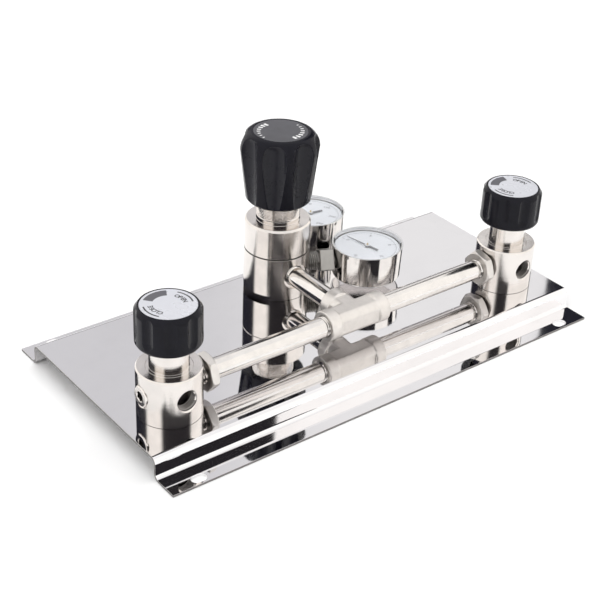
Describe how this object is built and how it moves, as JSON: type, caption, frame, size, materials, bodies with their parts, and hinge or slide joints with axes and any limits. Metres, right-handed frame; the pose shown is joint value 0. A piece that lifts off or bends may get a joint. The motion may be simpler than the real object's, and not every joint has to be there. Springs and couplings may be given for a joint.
{
  "type": "gas manifold panel",
  "caption": "Bent sheet panel carrying two hand shut-off valves, a tee with pipes, and a knob-set pressure regulator with two round gauges.",
  "frame": {"origin": "centre of the four mounting slots, on the face that lies on the wall or bench", "axes": "+X along the panel towards the right valve, +Y towards the regulator side, +Z away from the mounting face"},
  "size_m": [0.338, 0.1943, 0.1304],
  "materials": {
    "polished_steel": "mirror-polished stainless steel",
    "turned_steel": "fine-turned stainless steel",
    "cast_steel": "bead-blasted stainless steel",
    "zinc_steel": "plated steel",
    "spring_steel": "plain spring steel",
    "brass": "machined brass",
    "soft_seat": "plain seat polymer",
    "black_gloss": "glossy moulded black",
    "black_satin": "satin moulded black",
    "label": "printed silver-grey film",
    "dial": "white enamel with printed scale",
    "pointer": "matte black",
    "window": "clear polycarbonate"
  },
  "bodies": {
    "panel": {"base_panel": "polished_steel", "panel_fixing_screws": "zinc_steel", "left_valve_body": "turned_steel", "left_valve_seat": "soft_seat", "left_valve_diaphragm": "spring_steel", "left_valve_bonnet": "turned_steel", "left_valve_plug": "turned_steel", "right_valve_body": "turned_steel", "right_valve_seat": "soft_seat", "right_valve_diaphragm": "spring_steel", "right_valve_bonnet": "turned_steel", "right_valve_plug": "turned_steel", "left_pipe": "turned_steel", "right_pipe": "turned_steel", "pipe_lock_nuts": "turned_steel", "tee_fitting": "cast_steel", "inlet_nipple": "turned_steel", "regulator_body": "turned_steel", "regulator_seat": "soft_seat", "regulator_diaphragm": "spring_steel", "regulator_bonnet": "turned_steel", "range_spring": "spring_steel", "poppet_spring": "spring_steel", "front_gauge_case": "polished_steel", "front_gauge_socket": "cast_steel", "front_gauge_window": "window", "front_gauge_dial": "dial", "front_gauge_bourdon_tube": "brass", "front_gauge_movement_frame": "brass", "rear_gauge_case": "polished_steel", "rear_gauge_socket": "cast_steel", "rear_gauge_window": "window", "rear_gauge_dial": "dial", "rear_gauge_bourdon_tube": "brass", "rear_gauge_movement_frame": "brass"},
    "left_valve_lifter": {"left_valve_button": "brass"},
    "left_valve_handle": {"left_valve_spindle": "zinc_steel", "left_valve_knob": "black_gloss", "left_valve_knob_nut": "zinc_steel", "left_valve_label": "label"},
    "right_valve_lifter": {"right_valve_button": "brass"},
    "right_valve_handle": {"right_valve_spindle": "zinc_steel", "right_valve_knob": "black_gloss", "right_valve_knob_nut": "zinc_steel", "right_valve_label": "label"},
    "spring_seat": {"spring_button": "brass"},
    "regulator_handle": {"adjusting_screw": "zinc_steel", "regulator_knob": "black_satin", "regulator_knob_nut": "zinc_steel", "regulator_knob_cap": "black_satin"},
    "main_valve": {"diaphragm_plate": "brass", "regulator_poppet": "spring_steel"},
    "front_gauge_sector_arm": {"front_gauge_sector": "brass"},
    "front_gauge_needle": {"front_gauge_pointer": "pointer", "front_gauge_pinion": "brass"},
    "front_gauge_link_bar": {"front_gauge_link": "brass"},
    "rear_gauge_sector_arm": {"rear_gauge_sector": "brass"},
    "rear_gauge_needle": {"rear_gauge_pointer": "pointer", "rear_gauge_pinion": "brass"},
    "rear_gauge_link_bar": {"rear_gauge_link": "brass"}
  },
  "joints": [
    {"name": "left_valve_lift", "type": "slide", "parent": "panel", "child": "left_valve_lifter", "axis": [0, 0, 1], "range_m": [0, 0.00125], "deforming": ["left_valve_diaphragm"]},
    {"name": "left_valve_turn", "type": "hinge", "parent": "left_valve_lifter", "child": "left_valve_handle", "pos_m": [-0.136, -0.0356, 0.0615], "axis": [0, 0, 1], "range_deg": [0, 450]},
    {"name": "right_valve_lift", "type": "slide", "parent": "panel", "child": "right_valve_lifter", "axis": [0, 0, 1], "range_m": [0, 0.00125], "deforming": ["right_valve_diaphragm"]},
    {"name": "right_valve_turn", "type": "hinge", "parent": "right_valve_lifter", "child": "right_valve_handle", "pos_m": [0.1392, -0.0356, 0.0615], "axis": [0, 0, 1], "range_deg": [0, 450]},
    {"name": "spring_seat_push", "type": "slide", "parent": "panel", "child": "spring_seat", "axis": [0, 0, 1], "range_m": [-0.006, 0], "deforming": ["range_spring"]},
    {"name": "regulator_turn", "type": "hinge", "parent": "spring_seat", "child": "regulator_handle", "pos_m": [0.003, 0.0466, 0.0915], "axis": [0, 0, 1], "range_deg": [-1440, 0]},
    {"name": "main_valve_open", "type": "slide", "parent": "panel", "child": "main_valve", "axis": [0, 0, 1], "range_m": [-0.0008, 0], "stiffness_N_per_m": 4000, "springref_m": 0.0004, "deforming": ["regulator_diaphragm", "poppet_spring"]},
    {"name": "front_gauge_sector_swing", "type": "hinge", "parent": "panel", "child": "front_gauge_sector_arm", "pos_m": [0.05533, 0.00835, 0.032], "axis": [0, 0, 1], "range_deg": [0, 54], "stiffness_Nm_per_rad": 0.002, "deforming": ["front_gauge_bourdon_tube"]},
    {"name": "front_gauge_needle_turn", "type": "hinge", "parent": "panel", "child": "front_gauge_needle", "pos_m": [0.06049, 0.01918, 0.032], "axis": [0, 0, 1], "range_deg": [-270, 0]},
    {"name": "front_gauge_link_pivot", "type": "hinge", "parent": "front_gauge_sector_arm", "child": "front_gauge_link_bar", "pos_m": [0.05279, 0.0064, 0.032], "axis": [0, 0, 1], "range_deg": [-54, 0]},
    {"name": "rear_gauge_sector_swing", "type": "hinge", "parent": "panel", "child": "rear_gauge_sector_arm", "pos_m": [0.06378, 0.06912, 0.032], "axis": [0, 0, 1], "range_deg": [0, 54], "stiffness_Nm_per_rad": 0.002, "deforming": ["rear_gauge_bourdon_tube"]},
    {"name": "rear_gauge_needle_turn", "type": "hinge", "parent": "panel", "child": "rear_gauge_needle", "pos_m": [0.0576, 0.07941, 0.032], "axis": [0, 0, 1], "range_deg": [-270, 0]},
    {"name": "rear_gauge_link_pivot", "type": "hinge", "parent": "rear_gauge_sector_arm", "child": "rear_gauge_link_bar", "pos_m": [0.06401, 0.06593, 0.032], "axis": [0, 0, 1], "range_deg": [-54, 0]}
  ],
  "couplings": [
    {"joint": "left_valve_turn", "follows": "left_valve_lift", "rad_per_m": 6283.2},
    {"joint": "right_valve_turn", "follows": "right_valve_lift", "rad_per_m": 6283.2},
    {"joint": "regulator_turn", "follows": "spring_seat_push", "rad_per_m": 4188.8},
    {"joint": "front_gauge_needle_turn", "follows": "front_gauge_sector_swing", "ratio": -5},
    {"joint": "front_gauge_link_pivot", "follows": "front_gauge_sector_swing", "ratio": -1},
    {"joint": "rear_gauge_needle_turn", "follows": "rear_gauge_sector_swing", "ratio": -5},
    {"joint": "rear_gauge_link_pivot", "follows": "rear_gauge_sector_swing", "ratio": -1}
  ]
}
